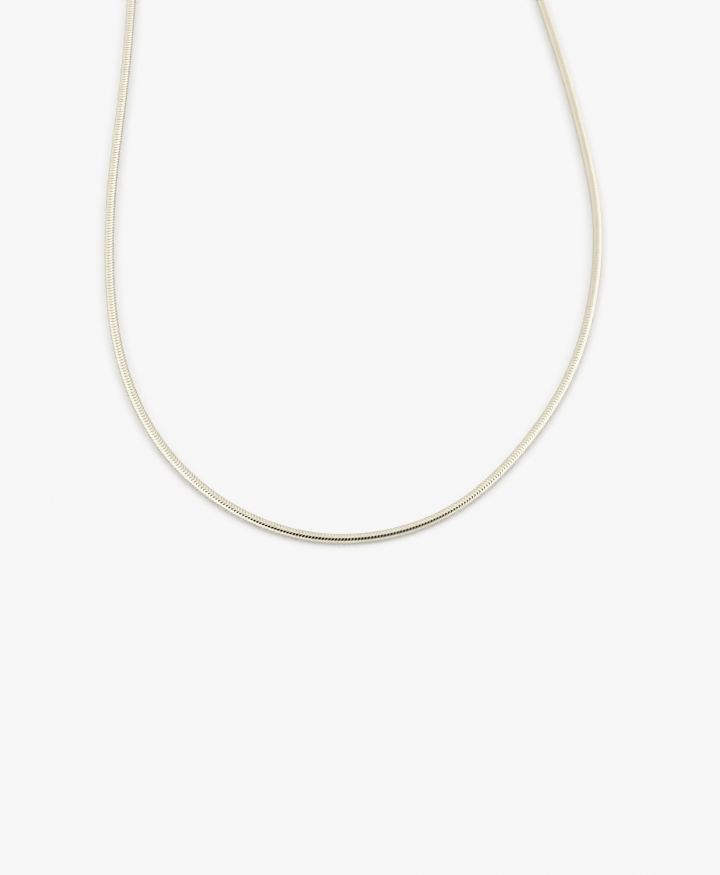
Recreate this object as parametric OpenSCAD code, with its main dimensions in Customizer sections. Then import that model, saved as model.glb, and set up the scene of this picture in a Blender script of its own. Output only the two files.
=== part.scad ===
// Round snake chain necklace, closed and laid out flat in its loop, in millimetres.
// A plain end cap with a soldered eye holds each end of the chain, and a plain ring clasp joins
// the two eyes. The origin is the middle of the loop's outline on the surface that it lies on,
// +X is to the right, +Y runs towards the clasp, and +Z is up.

/* [Chain] */
// Diameter of the chain
chain_d = 1.5; // [1.2:0.1:2]

/* [End caps] */
// Depth of the bore that the chain's end is fixed in
cap_bore_depth = 4.8; // [3.6:0.2:6]
// Thickness of the closed end behind the bore
cap_end_wall = 1.2; // [0.8:0.1:2]
// Thickness of the wall round the bore
cap_wall = 0.3; // [0.2:0.05:0.5]
// Width of the round lip at the mouth
cap_lip_w = 0.4; // [0.3:0.05:0.6]
// Radius of the rounded shoulder at the closed end
cap_shoulder_r = 0.35; // [0.2:0.05:0.6]
// Diameter of the wire of the eyes
eye_wire_d = 0.6; // [0.5:0.05:0.8]

/* [Clasp] */
// Outside diameter of the clasp's ring
clasp_od = 6; // [5:0.5:9]
// Diameter of the clasp's tube
clasp_tube_d = 1.1; // [0.9:0.05:1.4]
// Diameter of the thin gate wire that closes the ring
clasp_gate_d = 0.75; // [0.5:0.05:0.85]
// Part of the ring that the gate wire spans, in degrees
clasp_gate_angle = 70; // [40:5:90]
// Height of the trigger above the tube
trigger_h = 0.9; // [0.6:0.1:1.5]
// Diameter of the trigger
trigger_d = 0.7; // [0.5:0.05:0.9]

/* [Fits] */
// Room round the chain in the bore of a cap
chain_fit = 0.05; // [0.03:0.01:0.1]
// Room round the clasp's tube in the eye of a cap
eye_fit = 0.25; // [0.2:0.05:0.4]
// Room round an eye's wire in the clasp's own small eye
clasp_eye_fit = 0.2; // [0.15:0.05:0.4]
// Gap left between linked pieces that would touch
link_gap = 0.1; // [0.05:0.01:0.15]

/* [Hidden] */
$fn = 48;

// Across the flats the swept chain is chain_d, with one flat down on the surface
chain_sides = 8;
chain_r = chain_d / 2;
chain_corner_r = chain_r / cos(180 / chain_sides);
rings_per_span = 2;

cap_bore_r = chain_corner_r + chain_fit;
cap_r = cap_bore_r + cap_wall;
cap_length = cap_end_wall + cap_bore_depth;
eye_wire_r = eye_wire_d / 2;
eye_r = clasp_tube_d / 2 + eye_fit + eye_wire_r;
cap_lip_r = cap_lip_w / 2;
// The eyes stand upright on the surface, so they set the height of the caps
cap_axis_z = max(eye_r + eye_wire_r, cap_r + cap_lip_r);

// The clasp lies level in both eyes, drawn towards the low inner side of the right one
clasp_r = (clasp_od - clasp_tube_d) / 2;
clasp_eye_r = eye_wire_r + clasp_eye_fit + eye_wire_r;
eye_slack = (eye_fit - link_gap) * cos(45);
clasp_z = cap_axis_z - eye_slack;

// Places along the row from cap to cap, counted from the middle of the clasp's ring
right_eye_x = clasp_r + eye_slack;
right_cap_x = right_eye_x + eye_r;
clasp_eye_x = -clasp_od / 2 - clasp_eye_r;
left_eye_x = clasp_eye_x - clasp_eye_r - eye_r + eye_wire_d + link_gap;
left_cap_x = left_eye_x - eye_r;
chain_end_inset = cap_end_wall + link_gap;

// The row from cap to cap runs along X at the top of the loop, with its middle between the
// two ends of the chain at this place
fastening_x = -9.5;
fastening_y = 92;
half_row = (right_cap_x - left_cap_x) / 2 + chain_end_inset;
clasp_x = fastening_x - (right_cap_x + left_cap_x) / 2;

// The route of the chain on the surface, from the left cap down the left side, round the low
// front and up the right side. The chain is a smooth spline that these points steer.
chain_route = [
    [-32, 89.5], [-37, 84], [-39.5, 75.5], [-39.5, 63.5], [-39, 50.5], [-38, 37], [-37.5, 22.5],
    [-37.5, 8], [-37.5, -6], [-38, -20], [-39, -35], [-38.5, -50], [-36.5, -64], [-31, -77],
    [-22, -87], [-9.5, -93.5], [3.5, -94], [16, -89.5], [26, -79.5], [34, -67.5], [38, -54],
    [39.5, -40], [37.5, -26], [35, -12], [31.5, 2], [28.5, 16], [25.5, 30], [23.5, 42.5],
    [22, 54], [21.5, 65.5], [20.5, 76], [18, 84], [13, 89.5]
];

// Each end of the chain lies straight in its cap, on the cap's axis. toward is -1 at the left
// end and 1 at the right end, and step counts outwards from the end of the chain.
function end_point(toward, step) =
    [fastening_x + toward * (half_row + step * cap_bore_depth), fastening_y, cap_axis_z];

chain_points = concat(
    [for (step = [-1:2]) end_point(-1, step)],
    [for (p = chain_route) [p.x, p.y, chain_r]],
    [for (step = [2:-1:-1]) end_point(1, step)]
);

// A uniform cubic B-spline: the place and the heading at t from 0 to 1 between b and c
function spline_place(a, b, c, d, t) =
    (pow(1 - t, 3) * a + (3 * pow(t, 3) - 6 * t * t + 4) * b
        + (-3 * pow(t, 3) + 3 * t * t + 3 * t + 1) * c + pow(t, 3) * d) / 6;
function spline_heading(a, b, c, d, t) =
    (-pow(1 - t, 2) * a + (3 * t * t - 4 * t) * b + (-3 * t * t + 2 * t + 1) * c + t * t * d) / 2;

function unit(v) = v / norm(v);

// One ring of corners, square to the heading, with a flat underneath
function ring_corners(centre, heading) =
    let (side = unit(cross(heading, [0, 0, 1])), up = unit(cross(side, heading)))
    [for (i = [0:chain_sides - 1])
        let (angle = (i + 0.5) * 360 / chain_sides)
        centre + chain_corner_r * (cos(angle) * side + sin(angle) * up)];

spans = len(chain_points) - 3;
ring_count = spans * rings_per_span + 1;
chain_rings = [for (n = [0:ring_count - 1])
    let (
        span = min(floor(n / rings_per_span), spans - 1),
        t = n / rings_per_span - span,
        a = chain_points[span],
        b = chain_points[span + 1],
        c = chain_points[span + 2],
        d = chain_points[span + 3]
    )
    ring_corners(spline_place(a, b, c, d, t), spline_heading(a, b, c, d, t))];

// The flexible chain, as one tube along its route
module chain() {
    corner = chain_sides;
    walls = [for (n = [0:ring_count - 2], i = [0:corner - 1])
        let (next = (i + 1) % corner)
        [n * corner + i, n * corner + next, (n + 1) * corner + next, (n + 1) * corner + i]];
    first_end = [for (i = [corner - 1:-1:0]) i];
    last_end = [for (i = [0:corner - 1]) (ring_count - 1) * corner + i];
    color([0.89, 0.87, 0.80])
        polyhedron(
            points = [for (ring = chain_rings, p = ring) p],
            faces = concat(walls, [first_end, last_end]),
            convexity = 10
        );
}

// A closed wire ring of centre-line radius r round the Z axis
module wire_ring(r, wire_r) {
    rotate_extrude() translate([r, 0]) circle(wire_r);
}

// An end cap with its closed end at x = 0 and its mouth towards +X: a tube with a rounded
// shoulder and a round lip, and an upright eye soldered to the closed end
module end_cap() {
    shoulder = [for (angle = [0:15:90])
        [cap_r - cap_shoulder_r * (1 - sin(angle)), cap_shoulder_r * (1 - cos(angle))]];
    difference() {
        union() {
            rotate([0, 90, 0]) {
                rotate_extrude()
                    polygon(concat([[0, 0]], shoulder, [[cap_r, cap_length], [0, cap_length]]));
                translate([0, 0, cap_length - cap_lip_r]) wire_ring(cap_r, cap_lip_r);
            }
            translate([-eye_r, 0, 0]) rotate([90, 0, 0]) wire_ring(eye_r, eye_wire_r);
        }
        rotate([0, 90, 0]) translate([0, 0, cap_end_wall])
            cylinder(r = cap_bore_r, h = cap_bore_depth + cap_lip_w);
    }
}

module end_cap_left() {
    color([0.88, 0.86, 0.80])
        translate([clasp_x + left_cap_x, fastening_y, cap_axis_z]) rotate([0, 0, 180]) end_cap();
}

module end_cap_right() {
    color([0.88, 0.86, 0.80])
        translate([clasp_x + right_cap_x, fastening_y, cap_axis_z]) end_cap();
}

// The plain ring clasp: a tube bent round most of a ring, a thin gate wire that closes it, a
// trigger beside the gate, and a small closed eye soldered to its left side
module clasp() {
    gate_start = 90 - clasp_gate_angle / 2;
    trigger_angle = gate_start + clasp_gate_angle + 12;
    color([0.88, 0.86, 0.80])
        translate([clasp_x, fastening_y, clasp_z]) {
            rotate([0, 0, gate_start + clasp_gate_angle])
                rotate_extrude(angle = 360 - clasp_gate_angle)
                    translate([clasp_r, 0]) circle(clasp_tube_d / 2);
            wire_ring(clasp_r, clasp_gate_d / 2);
            rotate([0, 0, trigger_angle]) translate([clasp_r, 0, 0]) rotate([0, 90, 0])
                cylinder(d = trigger_d, h = clasp_tube_d / 2 + trigger_h);
            translate([clasp_eye_x, 0, 0]) wire_ring(clasp_eye_r, eye_wire_r);
        }
}

chain();
end_cap_left();
end_cap_right();
clasp();
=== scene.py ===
"""A round silver snake chain necklace, laid out flat in its closed loop on a pale surface.

The chain is made of nested zigzag ring links along the route of the plain tube that they
replace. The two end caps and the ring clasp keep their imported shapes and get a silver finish.
Lengths are in metres where a comment doesn't say millimetres, and angles round the chain run
from its right side over its top.
"""

import math

import bpy
import numpy as np
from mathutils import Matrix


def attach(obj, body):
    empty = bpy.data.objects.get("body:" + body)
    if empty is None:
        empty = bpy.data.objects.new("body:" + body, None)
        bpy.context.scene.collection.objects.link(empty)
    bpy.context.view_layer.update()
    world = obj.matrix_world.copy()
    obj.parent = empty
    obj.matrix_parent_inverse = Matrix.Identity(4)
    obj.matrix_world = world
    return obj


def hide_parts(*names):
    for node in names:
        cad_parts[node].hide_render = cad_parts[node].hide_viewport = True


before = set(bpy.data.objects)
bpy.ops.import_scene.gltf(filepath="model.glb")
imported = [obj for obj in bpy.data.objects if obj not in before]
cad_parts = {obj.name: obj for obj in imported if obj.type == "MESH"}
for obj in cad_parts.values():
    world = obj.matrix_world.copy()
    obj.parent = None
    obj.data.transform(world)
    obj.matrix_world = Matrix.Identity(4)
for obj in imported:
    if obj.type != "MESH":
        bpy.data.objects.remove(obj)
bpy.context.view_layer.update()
MM = 0.001

# ---- the chain's route, as in the part's source, in millimetres

CHAIN_RADIUS = 0.75
FASTENING = (-9.5, 92.0, 1.4)
HALF_ROW = 6.178
END_STEP = 4.8
# Even steps along the route at which its direction is worked out
PATH_STEPS = 9000
ROUTE = [
    (-32, 89.5), (-37, 84), (-39.5, 75.5), (-39.5, 63.5), (-39, 50.5), (-38, 37), (-37.5, 22.5),
    (-37.5, 8), (-37.5, -6), (-38, -20), (-39, -35), (-38.5, -50), (-36.5, -64), (-31, -77),
    (-22, -87), (-9.5, -93.5), (3.5, -94), (16, -89.5), (26, -79.5), (34, -67.5), (38, -54),
    (39.5, -40), (37.5, -26), (35, -12), (31.5, 2), (28.5, 16), (25.5, 30), (23.5, 42.5),
    (22, 54), (21.5, 65.5), (20.5, 76), (18, 84), (13, 89.5),
]

# ---- one link, in millimetres

PITCH = 0.478
WAVE_HEIGHT = 0.27
# Columns of faces round a link
TURNS = 12
# Length kept free at each end of the chain
END_ROOM = 0.05
# A link's chance shift along the chain, and the seed of all chance in the links
SHIFT_SPREAD = 0.0012
SHIFT_LIMIT = 0.003
LINK_SEED = 7
# Places on a link's closed section: share of the pitch along the chain, depth below the
# chain's surface, how deep in the seam the place lies, from 0 on the flat to 1 at its foot,
# and how far the polished surface leans along the chain there, in degrees
LINK_SECTION = np.array([
    (-0.02, 0.050, 1.0, -42),
    (0.15, 0.0, 0.0, -5),
    (0.82, 0.0, 0.0, 5),
    (0.965, 0.045, 1.0, 42),
    (1.12, 0.230, 1.0, 75),
])

# How much further the seams' dark colour and roughness reach out of the seams on the side turned
# to the loop's middle: painted shade, which darkens the seams on that side
INNER_SEAM_SHADE = 0.6


def route_points():
    """The points that steer the chain: two ends straight in their caps, and the route between
    them with its centre one chain radius above the surface."""
    x, y, z = FASTENING
    left, right = (
        [(x + side * (HALF_ROW + step * END_STEP), y, z) for step in (-1, 0, 1, 2)]
        for side in (-1, 1)
    )
    middle = [(px, py, CHAIN_RADIUS) for px, py in ROUTE]
    return np.array(left + middle + right[::-1], float) * MM


def spline(points, steps=60):
    """A uniform cubic B-spline. Each place is the mean of four neighbouring points, weighted
    by (1-t)^3, 3t^3-6t^2+4, 1+3t+3t^2-3t^3 and t^3, all over six, as t goes from 0 to 1."""
    t = np.linspace(0, 1, steps, endpoint=False)
    weights = np.stack([
        (1 - t) ** 3,
        3 * t**3 - 6 * t**2 + 4,
        1 + 3 * t + 3 * t**2 - 3 * t**3,
        t**3,
    ])
    four = np.stack([points[i:len(points) - 3 + i] for i in range(4)])
    places = np.einsum("kt,ksc->stc", weights / 6, four).reshape(-1, 3)
    last = (points[-3] + 4 * points[-2] + points[-1]) / 6
    return np.vstack([places, last])


def unit(v):
    """Each vector over its own length."""
    return v / np.linalg.norm(v, axis=-1, keepdims=True)


def frames_along(places):
    """The curve at even steps of its length: the length so far, and for each step the place,
    the sideways direction (heading crossed with up) and the direction square to both."""
    steps = np.linalg.norm(np.diff(places, axis=0), axis=1)
    length = np.concatenate([[0], np.cumsum(steps)])
    even = np.linspace(0, length[-1], PATH_STEPS)
    centre = np.stack([np.interp(even, length, places[:, i]) for i in range(3)], axis=1)
    heading = unit(np.gradient(centre, axis=0))
    side = unit(np.cross(heading, [0.0, 0.0, 1.0]))
    up = np.cross(side, heading)
    return even, centre, side, up


def carried(path, along, angle):
    """On the curved tube at the given length and angle: the curve's centre, the outward
    direction (cosine of the angle sideways + sine of the angle upwards), the direction round
    the tube (minus sine sideways + cosine upwards) and the heading (up crossed with side)."""
    even, centre, side, up = path

    def read(values):
        return np.stack([np.interp(along, even, values[:, i]) for i in range(3)], axis=-1)

    side, up = read(side), read(up)
    c, s = np.cos(angle)[..., None], np.sin(angle)[..., None]
    return read(centre), c * side + s * up, c * up - s * side, np.cross(up, side)


def zigzag(angle):
    """The wave of a link round the chain: 1 at its top and bottom and -1 at its two sides.
    With c = minus the cosine of twice the angle it is c (1.3 - 0.3 c^2), a little steeper
    than a cosine half way between."""
    c = -np.cos(2 * angle)
    return c * (1.3 - 0.3 * c**2)


def zigzag_slope(angle, step=0.01):
    """How steeply the wave climbs round the chain: the change of its height over a small step
    of the angle to each side, over the length of that step on the chain's surface."""
    climb = WAVE_HEIGHT * (zigzag(angle + step) - zigzag(angle - step))
    return climb / (2 * step) / CHAIN_RADIUS


def mesh_object(name, points, faces, uv=None, values=None, normals=None):
    """A smooth mesh from an array of places and an array of four-cornered faces, with a UV
    place for each face corner, and named values and a surface direction for each point."""
    mesh = bpy.data.meshes.new(name)
    mesh.vertices.add(len(points))
    mesh.vertices.foreach_set("co", points.astype(np.float32).ravel())
    mesh.loops.add(faces.size)
    mesh.loops.foreach_set("vertex_index", faces.astype(np.int32).ravel())
    mesh.polygons.add(len(faces))
    mesh.polygons.foreach_set("loop_start", np.arange(0, faces.size, 4, dtype=np.int32))
    mesh.polygons.foreach_set("use_smooth", np.ones(len(faces), bool))
    if uv is not None:
        layer = mesh.uv_layers.new(name="UVMap")
        layer.data.foreach_set("uv", uv.astype(np.float32).ravel())
    for key, array in (values or {}).items():
        layer = mesh.attributes.new(key, "FLOAT", "POINT")
        layer.data.foreach_set("value", array.astype(np.float32).ravel())
    mesh.update(calc_edges=True)
    mesh.validate()
    if normals is not None:
        mesh.normals_split_custom_set_from_vertices(normals.astype(np.float32))
    obj = bpy.data.objects.new(name, mesh)
    bpy.context.scene.collection.objects.link(obj)
    return obj


def snake_chain(name, path):
    """All the links as closed bands. Link n, angle a and section place k lie at the length
    start + n pitches + the zigzag of a + k's share of a pitch, and at k's depth below the
    chain's surface. A small seeded shift keeps the links from being all alike. The surface
    direction is outward + the tangent of k's lean times (heading - slope of the zigzag round
    the chain), so that a scale is nearly flat and its edges are polished round. The seam value
    is k's own times 1 + INNER_SEAM_SHADE times minus twice the cosine of a, kept from 0 to 1, so
    that the seams' dark colour reaches further on the side turned to the loop's middle:
    painted shade, which darkens the seams on that side."""
    full = path[0][-1] / MM
    reach = LINK_SECTION[:, 0].max() * PITCH + WAVE_HEIGHT
    start = WAVE_HEIGHT + END_ROOM
    links = int((full - start - reach - END_ROOM) / PITCH)
    chance = np.random.default_rng(LINK_SEED)
    shift = chance.normal(0, SHIFT_SPREAD, links).clip(-SHIFT_LIMIT, SHIFT_LIMIT)
    share, depth, seam, lean = LINK_SECTION.T
    n = np.arange(links)[:, None, None]
    angle = (np.arange(TURNS) * 2 * math.pi / TURNS)[None, :, None]
    along = start + n * PITCH + shift[:, None, None] + WAVE_HEIGHT * zigzag(angle) + share * PITCH
    slope = zigzag_slope(angle)[..., None]
    angle = np.broadcast_to(angle, along.shape)
    centre, outward, around, heading = carried(path, along * MM, angle)
    points = centre + ((CHAIN_RADIUS - depth) * MM)[:, None] * outward
    normals = unit(outward + np.tan(np.radians(lean))[:, None] * (heading - slope * around))

    index = np.arange(along.size).reshape(along.shape)
    ahead = np.roll(index, -1, axis=2)
    corners = [index, ahead, np.roll(ahead, -1, axis=1), np.roll(index, -1, axis=1)]
    faces = np.stack(corners, axis=-1)

    round_share = np.arange(TURNS)[:, None] / TURNS + np.array([0, 0, 1, 1]) / TURNS
    u = np.broadcast_to(round_share[None, :, None, :], faces.shape)
    v = (along / full).reshape(-1)[faces]
    uv = np.stack([u, v], axis=-1).reshape(-1, 2)
    # Painted shade: the seams are made darker on the side turned to the loop's middle
    inner_shade = (-2 * np.cos(angle)).clip(0, 1)
    values = {
        "seam": seam * (1 + INNER_SEAM_SHADE * inner_shade),
        "link_tone": np.broadcast_to(chance.random(links)[:, None, None], along.shape),
    }
    return mesh_object(name, points.reshape(-1, 3), faces.reshape(-1, 4), uv, values,
                       normals.reshape(-1, 3))


# ---- finishes

# A link's colour lies between these two, by chance
SILVER_TONES = ((0.655, 0.608, 0.507, 1), (0.69, 0.643, 0.537, 1))
# The seams' darkest colour: partly tarnish, partly painted shade
TARNISH_AND_SHADE = (0.155, 0.13, 0.09, 1)
CARD_TONES = ((0.940, 0.942, 0.945, 1), (0.956, 0.958, 0.961, 1))
# Scratches are drawn out along the second coordinate
SCRATCH_STRETCH = (9.0, 0.7, 9.0)
SCRATCH_HEIGHT = 0.0000004
TOOTH_HEIGHT = 0.00002
# In millimetres, rounded, to scale the pattern along the chain
CHAIN_LENGTH = 445.0


def node(tree, kind, place, **settings):
    """Adds a shader node at a place in the tree and sets what it is given."""
    made = tree.nodes.new(kind)
    made.location = place
    for key, value in settings.items():
        setattr(made, key, value)
    return made


def noise(tree, place, vector, scale, detail=2.0, roughness=0.5):
    """Cloudy noise on the given coordinates, from about 0 to 1."""
    made = node(tree, "ShaderNodeTexNoise", place)
    made.inputs["Scale"].default_value = scale
    made.inputs["Detail"].default_value = detail
    made.inputs["Roughness"].default_value = roughness
    tree.links.new(vector, made.inputs["Vector"])
    return made.outputs["Fac"]


def ramp(tree, place, value, start, end, top=1.0, kind="SMOOTHSTEP"):
    """0 where the value is at start and top where it is at end. In between it is top times
    3s^2 - 2s^3, with s the share of the way from start to end, or top times s if linear."""
    made = node(tree, "ShaderNodeMapRange", place, interpolation_type=kind)
    made.inputs["From Min"].default_value = start
    made.inputs["From Max"].default_value = end
    made.inputs["To Max"].default_value = top
    tree.links.new(value, made.inputs["Value"])
    return made.outputs["Result"]


def tone_mix(tree, place, tones, share):
    """A colour between two tones, by a share from 0 to 1."""
    made = node(tree, "ShaderNodeMix", place, data_type="RGBA")
    made.inputs["A"].default_value, made.inputs["B"].default_value = tones
    tree.links.new(share, made.inputs["Factor"])
    return made.outputs["Result"]


def bump(tree, place, height, strength, distance):
    """The surface direction, leaned by the slope of the height times the distance. The
    strength is the share of that lean that is used."""
    made = node(tree, "ShaderNodeBump", place)
    made.inputs["Strength"].default_value = strength
    made.inputs["Distance"].default_value = distance
    tree.links.new(height, made.inputs["Height"])
    return made.outputs["Normal"]


def silver_wear_and_shade_group():
    """Polished silver as it wears, with shade painted into its seams. Fine scratches run along
    the second of the coordinates, cloudy handling marks dull it, and the seams are rougher
    and hold a darker, warmer colour: partly tarnish, partly painted shade."""
    tree = bpy.data.node_groups.new("silver_wear_and_shade", "ShaderNodeTree")
    sockets = (
        ("Vector", "INPUT", "NodeSocketVector", None),
        ("Seam", "INPUT", "NodeSocketFloat", 0.0),
        ("Tone", "INPUT", "NodeSocketFloat", 0.5),
        ("Polish", "INPUT", "NodeSocketFloat", 0.08),
        ("Color", "OUTPUT", "NodeSocketColor", None),
        ("Roughness", "OUTPUT", "NodeSocketFloat", None),
        ("Height", "OUTPUT", "NodeSocketFloat", None),
    )
    for label, way, kind, value in sockets:
        socket = tree.interface.new_socket(label, in_out=way, socket_type=kind)
        if value is not None:
            socket.default_value = value
    given = node(tree, "NodeGroupInput", (-900, 0))
    made = node(tree, "NodeGroupOutput", (700, 0))
    link = tree.links.new

    stretch = node(tree, "ShaderNodeVectorMath", (-700, 200), operation="MULTIPLY")
    stretch.inputs[1].default_value = SCRATCH_STRETCH
    link(given.outputs["Vector"], stretch.inputs[0])
    scratches = noise(tree, (-500, 200), stretch.outputs[0], scale=2.2, detail=5.0,
                      roughness=0.65)
    link(scratches, made.inputs["Height"])

    clouds = noise(tree, (-500, -100), given.outputs["Vector"], scale=0.45, detail=3.0)
    rough = node(tree, "ShaderNodeMath", (0, -100), operation="ADD")
    link(given.outputs["Polish"], rough.inputs[0])
    dull = ramp(tree, (-250, -100), clouds, 0.35, 0.75, top=0.07, kind="LINEAR")
    link(dull, rough.inputs[1])
    seam_rough = node(tree, "ShaderNodeMath", (200, -150), operation="MULTIPLY_ADD")
    seam_rough.inputs[1].default_value = 0.24
    link(ramp(tree, (0, -300), given.outputs["Seam"], 0.02, 0.25), seam_rough.inputs[0])
    link(rough.outputs[0], seam_rough.inputs[2])
    link(seam_rough.outputs[0], made.inputs["Roughness"])

    # Painted shade: the seams' dark colour is partly tarnish and partly shade painted in
    tarnish_and_shade_mask = ramp(tree, (-50, 200), given.outputs["Seam"], 0.62, 1.0)
    colour = node(tree, "ShaderNodeMix", (300, 300), data_type="RGBA")
    colour.inputs["B"].default_value = TARNISH_AND_SHADE
    link(tarnish_and_shade_mask, colour.inputs["Factor"])
    link(tone_mix(tree, (-50, 400), SILVER_TONES, given.outputs["Tone"]), colour.inputs["A"])
    link(colour.outputs["Result"], made.inputs["Color"])
    return tree


def silver_material(name, wear_and_shade, polish, scratches, sources):
    """A silver finish: a metal shader whose colour, roughness and fine bump come from the wear
    and painted shade group. sources puts the coordinates, and any named values, into the group."""
    material = bpy.data.materials.new(name)
    material.use_nodes = True
    tree = material.node_tree
    metal = tree.nodes["Principled BSDF"]
    metal.location = (400, 0)
    metal.inputs["Metallic"].default_value = 1.0
    group = node(tree, "ShaderNodeGroup", (-100, 0), node_tree=wear_and_shade)
    group.inputs["Polish"].default_value = polish
    sources(tree, group)
    grain = bump(tree, (150, -250), group.outputs["Height"], scratches, SCRATCH_HEIGHT)
    tree.links.new(group.outputs["Color"], metal.inputs["Base Color"])
    tree.links.new(group.outputs["Roughness"], metal.inputs["Roughness"])
    tree.links.new(grain, metal.inputs["Normal"])
    return material


def chain_sources(tree, group):
    """The chain's pattern follows its surface: the UV place in millimetres round and along."""
    place = node(tree, "ShaderNodeUVMap", (-700, 100), uv_map="UVMap")
    scale = node(tree, "ShaderNodeVectorMath", (-450, 100), operation="MULTIPLY")
    scale.inputs[1].default_value = (2 * math.pi * CHAIN_RADIUS, CHAIN_LENGTH, 1.0)
    tree.links.new(place.outputs["UV"], scale.inputs[0])
    tree.links.new(scale.outputs[0], group.inputs["Vector"])
    for row, (key, socket) in enumerate((("seam", "Seam"), ("link_tone", "Tone"))):
        value = node(tree, "ShaderNodeAttribute", (-450, -100 - 200 * row), attribute_name=key)
        tree.links.new(value.outputs["Fac"], group.inputs[socket])


def fitting_sources(tree, group):
    """The caps and clasp take their pattern from their place in millimetres."""
    place = node(tree, "ShaderNodeTexCoord", (-700, 100))
    scale = node(tree, "ShaderNodeVectorMath", (-450, 100), operation="SCALE")
    scale.inputs["Scale"].default_value = 1 / MM
    tree.links.new(place.outputs["Object"], scale.inputs[0])
    tree.links.new(scale.outputs[0], group.inputs["Vector"])


def card_material():
    """Smooth white card, with a hardly visible cloudiness in its tone and a fine tooth."""
    material = bpy.data.materials.new("white_card")
    material.use_nodes = True
    tree = material.node_tree
    card = tree.nodes["Principled BSDF"]
    card.inputs["Roughness"].default_value = 0.75
    card.inputs["Specular IOR Level"].default_value = 0.15
    place = node(tree, "ShaderNodeTexCoord", (-900, 0)).outputs["Object"]
    clouds = noise(tree, (-650, 100), place, scale=18.0, detail=4.0)
    tooth = noise(tree, (-650, -200), place, scale=2500.0)
    grain = bump(tree, (-300, -200), tooth, strength=0.05, distance=TOOTH_HEIGHT)
    tree.links.new(tone_mix(tree, (-300, 100), CARD_TONES, clouds), card.inputs["Base Color"])
    tree.links.new(grain, card.inputs["Normal"])
    return material


# ---- surroundings

TABLE_SIZE = 3.0
SKY_BRIGHTNESS = 1.27
# Middle and half sizes in x and y of the direction, softness of the edge, and brightness
SKY_AREAS = [
    ((-0.75, -0.35), (0.50, 0.60), 0.9, 2.1),
    ((0.80, -0.12), (0.50, 0.68), 0.9, 2.3),
    ((0.42, 0.28), (0.26, 0.28), 0.9, 1.65),
    ((0.05, -0.45), (0.60, 0.47), 0.15, 0.003),
]
CAMERA_PLACE = (0.00115, -0.1565, 0.21275)
CAMERA_TILT = 20.4
# Focal length and height of the picture in pixels, and the sensor's longer side in millimetres
FOCAL_PIXELS = 1500
PICTURE_PIXELS = 875
SENSOR = 36.0
# Brightness in the scene and brightness in the picture
TONE_CURVE = [
    (0.0, 0.0), (0.06, 0.025), (0.2, 0.145), (0.45, 0.42), (0.75, 0.735),
    (0.90, 0.87), (1.03, 0.935), (1.5, 0.975), (2.4, 1.0),
]


def table_top():
    """A level square of card with the necklace lying on it."""
    half = TABLE_SIZE / 2
    corners = np.array([(-half, -half, 0), (half, -half, 0), (half, half, 0), (-half, half, 0)])
    obj = mesh_object("table_top", corners, np.array([[0, 1, 2, 3]]))
    obj.data.materials.append(card_material())


def oval_mask(tree, row, direction, middle, half, edge):
    """An oval in the x and y of the direction looked in. The mask falls smoothly from 1 to 0
    as the squared distance from the oval's middle, counted in its own half sizes, goes from
    1 - edge to 1 + edge."""
    total = node(tree, "ShaderNodeMath", (-540, -300 * row), operation="ADD")
    for axis in (0, 1):
        height = -300 * row - 150 * axis
        offset = node(tree, "ShaderNodeMath", (-900, height), operation="MULTIPLY_ADD")
        offset.inputs[1].default_value = 1 / half[axis]
        offset.inputs[2].default_value = -middle[axis] / half[axis]
        tree.links.new(direction.outputs[axis], offset.inputs[0])
        square = node(tree, "ShaderNodeMath", (-720, height), operation="MULTIPLY")
        tree.links.new(offset.outputs[0], square.inputs[0])
        tree.links.new(offset.outputs[0], square.inputs[1])
        tree.links.new(square.outputs[0], total.inputs[axis])
    return ramp(tree, (-360, -300 * row), total.outputs[0], 1 + edge, 1 - edge)


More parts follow.
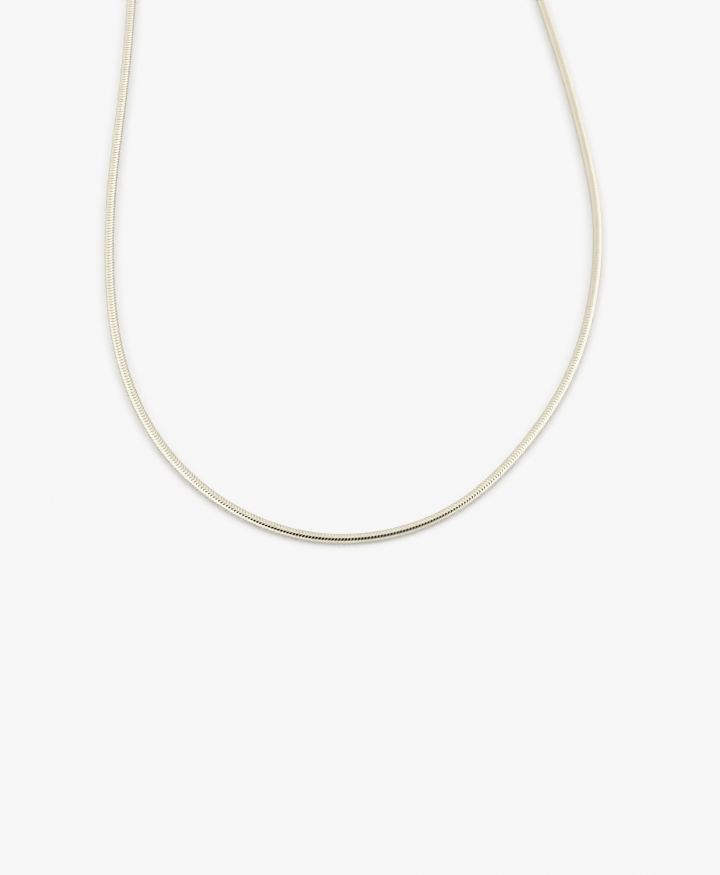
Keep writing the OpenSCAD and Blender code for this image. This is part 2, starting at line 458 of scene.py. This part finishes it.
def surroundings():
    """Pale light from all round, with three brighter soft areas, to the left, to the right and
    overhead, and a dark one where the viewer stands. Each area is laid over those before it."""
    world = bpy.data.worlds.new("studio")
    bpy.context.scene.world = world
    world.use_nodes = True
    tree = world.node_tree
    look = node(tree, "ShaderNodeTexCoord", (-1300, 0))
    direction = node(tree, "ShaderNodeSeparateXYZ", (-1100, 0))
    tree.links.new(look.outputs["Generated"], direction.inputs[0])
    light = None
    for row, (middle, half, edge, brightness) in enumerate(SKY_AREAS):
        mixed = node(tree, "ShaderNodeMix", (-150, -300 * row), data_type="FLOAT")
        mixed.inputs["A"].default_value = SKY_BRIGHTNESS
        mixed.inputs["B"].default_value = brightness
        mask = oval_mask(tree, row, direction, middle, half, edge)
        tree.links.new(mask, mixed.inputs["Factor"])
        if light is not None:
            tree.links.new(light, mixed.inputs["A"])
        light = mixed.outputs["Result"]
    background = tree.nodes["Background"]
    background.inputs["Color"].default_value = (1.0, 1.0, 1.0, 1)
    tree.links.new(light, background.inputs["Strength"])


def camera():
    """Looks down at the loop's front from the viewer's side, tilted from straight down."""
    lens = bpy.data.cameras.new("camera")
    lens.sensor_width = SENSOR
    lens.lens = SENSOR * FOCAL_PIXELS / PICTURE_PIXELS
    lens.clip_start = 0.01
    lens.clip_end = 20.0
    obj = bpy.data.objects.new("camera", lens)
    bpy.context.scene.collection.objects.link(obj)
    obj.location = CAMERA_PLACE
    obj.rotation_euler = (math.radians(CAMERA_TILT), 0, 0)
    bpy.context.scene.camera = obj


def tone_curve():
    """A camera's tone response: even in the middle tones, a little deeper in the dark ones and
    easing the brightest ones towards white."""
    view = bpy.context.scene.view_settings
    view.view_transform = "Standard"
    view.use_curve_mapping = True
    mapping = view.curve_mapping
    mapping.use_clip = False
    points = mapping.curves[3].points
    points[0].location, points[1].location = TONE_CURVE[0], TONE_CURVE[-1]
    for place in TONE_CURVE[1:-1]:
        points.new(*place)
    mapping.update()


# ---- the necklace

wear_and_shade = silver_wear_and_shade_group()
chain_silver = silver_material(
    "chain_silver", wear_and_shade, polish=0.05, scratches=0.25, sources=chain_sources)
fitting_silver = silver_material(
    "fitting_silver", wear_and_shade, polish=0.10, scratches=0.4, sources=fitting_sources)

links = snake_chain("chain_links", frames_along(spline(route_points())))
links.data.materials.append(chain_silver)
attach(links, "root")
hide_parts("chain")

for name in ("end_cap_left", "end_cap_right", "clasp"):
    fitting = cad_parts[name]
    fitting.data.materials.clear()
    fitting.data.materials.append(fitting_silver)

# ---- table, light and camera

table_top()
surroundings()
camera()
tone_curve()
